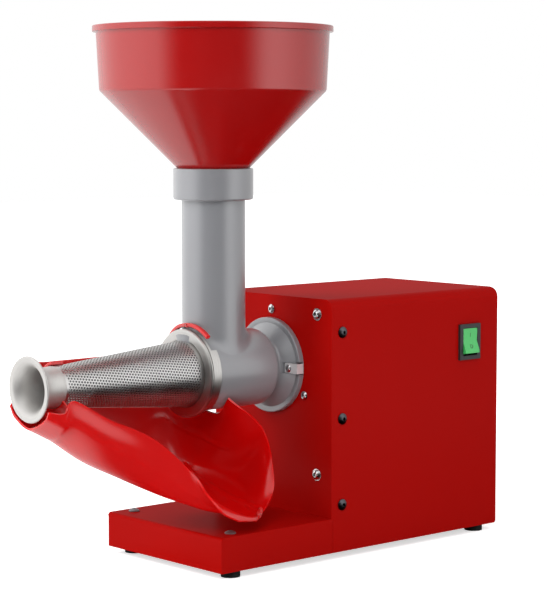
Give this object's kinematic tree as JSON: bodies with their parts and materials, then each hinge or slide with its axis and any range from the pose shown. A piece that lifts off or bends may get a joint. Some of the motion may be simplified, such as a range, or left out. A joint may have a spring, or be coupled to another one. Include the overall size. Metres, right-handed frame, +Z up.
{
  "type": "electric tomato press",
  "caption": "Electric tomato press: red geared-motor housing, grey press head with inlet tube and funnel, perforated cone filter, flared waste outlet and side-spout juice tray.",
  "frame": {"origin": "centre of the bounding box seen from above, on the surface that the feet stand on", "axes": "+X to the right seen from the front, on the switch side; +Y from the waste outlet at the front to the back; +Z up"},
  "size_m": [0.199, 0.4692, 0.445],
  "materials": {
    "red_paint": "gloss",
    "rubber": "matte",
    "zinc": "bright zinc plate",
    "dark_steel": "blackened",
    "steel": "machined",
    "black_plastic": "satin",
    "green_plastic": "gloss",
    "cast_aluminium": "cast",
    "gear_steel": "machined",
    "bearing_steel": "ground",
    "lamination": "matte",
    "copper": "enamelled wire",
    "can_aluminium": "satin",
    "grey_paint": "satin",
    "spring_steel": "satin",
    "stainless": "bright",
    "ring_metal": "satin",
    "red_plastic": "satin"
  },
  "bodies": {
    "housing": {"base_pan": "red_paint", "housing_cover": "red_paint", "front_plate": "red_paint", "rear_panel": "red_paint", "rubber_feet": "rubber", "foot_screws": "zinc", "cover_screws": "dark_steel", "plate_screws": "zinc", "plate_washers": "zinc", "gearbox_screws": "zinc", "mount_plate": "steel", "rear_screws": "dark_steel", "cable_gland": "black_plastic", "gland_nut": "black_plastic", "switch_bezel": "black_plastic", "gearbox_case": "cast_aluminium", "gearbox_cover": "cast_aluminium", "case_screws": "zinc", "output_bearings": "bearing_steel", "layshaft_bearings": "bearing_steel", "motor_bearings": "bearing_steel", "stator_core": "lamination", "windings": "copper", "motor_front_shield": "cast_aluminium", "motor_rear_shield": "cast_aluminium", "motor_bolts": "zinc", "motor_cradle": "steel", "capacitor": "can_aluminium", "bayonet_ring": "cast_aluminium", "press_body": "grey_paint", "catch_screw": "zinc", "shaft_seal": "rubber"},
    "rocker": {"switch_rocker": "green_plastic"},
    "output": {"output_shaft": "steel", "output_gear": "gear_steel", "auger": "cast_aluminium", "auger_flight": "cast_aluminium"},
    "layshaft": {"layshaft": "gear_steel", "layshaft_gear": "gear_steel"},
    "rotor": {"rotor_shaft": "steel", "rotor_core": "lamination", "cooling_fan": "black_plastic"},
    "filter": {"filter_cone": "stainless", "trumpet": "stainless", "drip_tray": "red_plastic"},
    "ring": {"ring_nut": "ring_metal"},
    "funnel": {"funnel": "red_plastic"},
    "catch": {"lock_catch": "spring_steel"}
  },
  "joints": [
    {"name": "switch_rock", "type": "hinge", "parent": "housing", "child": "rocker", "pos_m": [0.0725, 0.18443, 0.1727], "axis": [0, 1, 0], "range_deg": [0, 18]},
    {"name": "output_spin", "type": "hinge", "parent": "housing", "child": "output", "pos_m": [0, 0.02092, 0.159], "axis": [0, 1, 0], "continuous": true},
    {"name": "layshaft_spin", "type": "hinge", "parent": "housing", "child": "layshaft", "pos_m": [0.01082, 0.02092, 0.11919], "axis": [0, 1, 0], "continuous": true},
    {"name": "rotor_spin", "type": "hinge", "parent": "housing", "child": "rotor", "pos_m": [0, 0.02092, 0.08591], "axis": [0, 1, 0], "continuous": true},
    {"name": "filter_pull", "type": "slide", "parent": "housing", "child": "filter", "axis": [0, -1, 0], "range_m": [0, 0.16]},
    {"name": "ring_turn", "type": "hinge", "parent": "filter", "child": "ring", "pos_m": [0, 0.02092, 0.159], "axis": [0, -1, 0], "range_deg": [0, 22]},
    {"name": "funnel_lift", "type": "slide", "parent": "housing", "child": "funnel", "axis": [0, 0, 1], "range_m": [0, 0.12]},
    {"name": "catch_slide", "type": "slide", "parent": "housing", "child": "catch", "axis": [1, 0, 0], "range_m": [0, 0.0025], "stiffness_N_per_m": 50}
  ],
  "couplings": [
    {"joint": "layshaft_spin", "follows": "output_spin", "ratio": -3.2308},
    {"joint": "rotor_spin", "follows": "output_spin", "ratio": 11.846}
  ]
}
